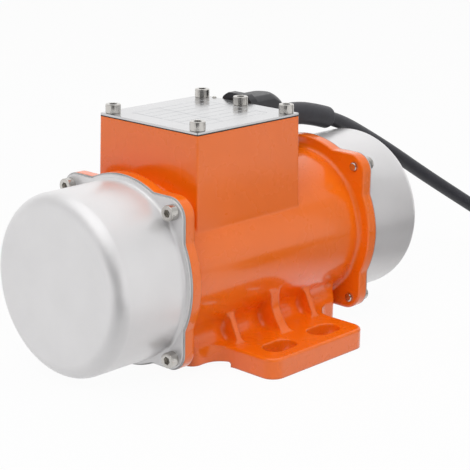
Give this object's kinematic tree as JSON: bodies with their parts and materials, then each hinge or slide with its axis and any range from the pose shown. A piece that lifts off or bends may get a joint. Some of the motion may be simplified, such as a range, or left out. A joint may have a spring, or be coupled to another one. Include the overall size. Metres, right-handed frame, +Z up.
{
  "type": "vibration motor",
  "caption": "Foot-mounted electric vibration motor: cast body with ribbed feet, round end covers over eccentric weights, terminal box on top, and a cable with a plug.",
  "frame": {"origin": "on the floor plane of the feet, midway between the two end covers and between the two feet", "axes": "+Z up, +X along the shaft towards the cable's end, +Y across the feet"},
  "size_m": [0.456, 0.255, 0.1377],
  "materials": {
    "orange_paint": "gloss",
    "cover_metal": "satin",
    "black_gasket": "matte",
    "steel_screws": "satin",
    "lid_plate": "satin",
    "cast_shield": "cast",
    "bearing_steel": "ground",
    "cage_brass": "satin",
    "core_steel": "laminated",
    "copper_winding": "varnished",
    "weight_steel": "cut plate",
    "black_plastic": "matte",
    "stud_brass": "satin",
    "lead_jacket": "smooth",
    "cable_rubber": "soft sheen",
    "sleeve_rubber": "soft sheen",
    "tie_strap": "matte",
    "plug_pin_brass": "nickel plated"
  },
  "bodies": {
    "housing": {"bearing_outer_ring_left": "bearing_steel", "bearing_outer_ring_right": "bearing_steel", "bearing_shield_left": "cast_shield", "bearing_shield_right": "cast_shield", "cable": "cable_rubber", "cable_coil": "cable_rubber", "cable_sleeve": "sleeve_rubber", "cable_tail": "cable_rubber", "coil_tie": "tie_strap", "cover_gasket_left": "black_gasket", "cover_gasket_right": "black_gasket", "cover_screws_left": "steel_screws", "cover_screws_right": "steel_screws", "earth_screw": "steel_screws", "end_cover_left": "cover_metal", "end_cover_right": "cover_metal", "gland_body": "black_plastic", "gland_locknut": "black_plastic", "gland_nut": "black_plastic", "gland_seal": "black_gasket", "gland_washer": "black_gasket", "lid_gasket": "black_gasket", "lid_screws": "steel_screws", "motor_body": "orange_paint", "motor_leads": "lead_jacket", "plug_body": "black_plastic", "plug_cable": "cable_rubber", "plug_neck": "black_plastic", "plug_pins": "plug_pin_brass", "shaft_seal_left": "black_gasket", "shaft_seal_right": "black_gasket", "shield_screws_left": "steel_screws", "shield_screws_right": "steel_screws", "stator_core": "core_steel", "stator_windings": "copper_winding", "supply_leads": "lead_jacket", "terminal_block": "black_plastic", "terminal_block_screws": "steel_screws", "terminal_lid": "lid_plate", "terminal_studs": "stud_brass"},
    "rotor": {"rotor_shaft": "bearing_steel", "rotor_core": "core_steel", "rotor_end_ring_left": "cast_shield", "bearing_inner_ring_left": "bearing_steel", "fixed_weight_left": "weight_steel", "weight_key_left": "steel_screws", "shaft_nut_left": "steel_screws", "rotor_end_ring_right": "cast_shield", "bearing_inner_ring_right": "bearing_steel", "fixed_weight_right": "weight_steel", "weight_key_right": "steel_screws", "shaft_nut_right": "steel_screws"},
    "balls_left": {"bearing_balls_left": "bearing_steel", "ball_cage_left": "cage_brass"},
    "outer_weight_left": {"adjustable_weight_left": "weight_steel", "clamp_screw_left": "steel_screws"},
    "balls_right": {"bearing_balls_right": "bearing_steel", "ball_cage_right": "cage_brass"},
    "outer_weight_right": {"adjustable_weight_right": "weight_steel", "clamp_screw_right": "steel_screws"}
  },
  "joints": [
    {"name": "rotor_spin", "type": "hinge", "parent": "housing", "child": "rotor", "pos_m": [0, 0, 0.054], "axis": [1, 0, 0], "continuous": true},
    {"name": "ball_orbit_left", "type": "hinge", "parent": "housing", "child": "balls_left", "pos_m": [0, 0, 0.054], "axis": [1, 0, 0], "continuous": true},
    {"name": "force_setting_left", "type": "hinge", "parent": "rotor", "child": "outer_weight_left", "pos_m": [0, 0, 0.054], "axis": [1, 0, 0], "range_deg": [0, 180]},
    {"name": "ball_orbit_right", "type": "hinge", "parent": "housing", "child": "balls_right", "pos_m": [0, 0, 0.054], "axis": [1, 0, 0], "continuous": true},
    {"name": "force_setting_right", "type": "hinge", "parent": "rotor", "child": "outer_weight_right", "pos_m": [0, 0, 0.054], "axis": [1, 0, 0], "range_deg": [0, 180]}
  ],
  "couplings": [
    {"joint": "ball_orbit_left", "follows": "rotor_spin", "ratio": 0.39},
    {"joint": "ball_orbit_right", "follows": "rotor_spin", "ratio": 0.39}
  ]
}
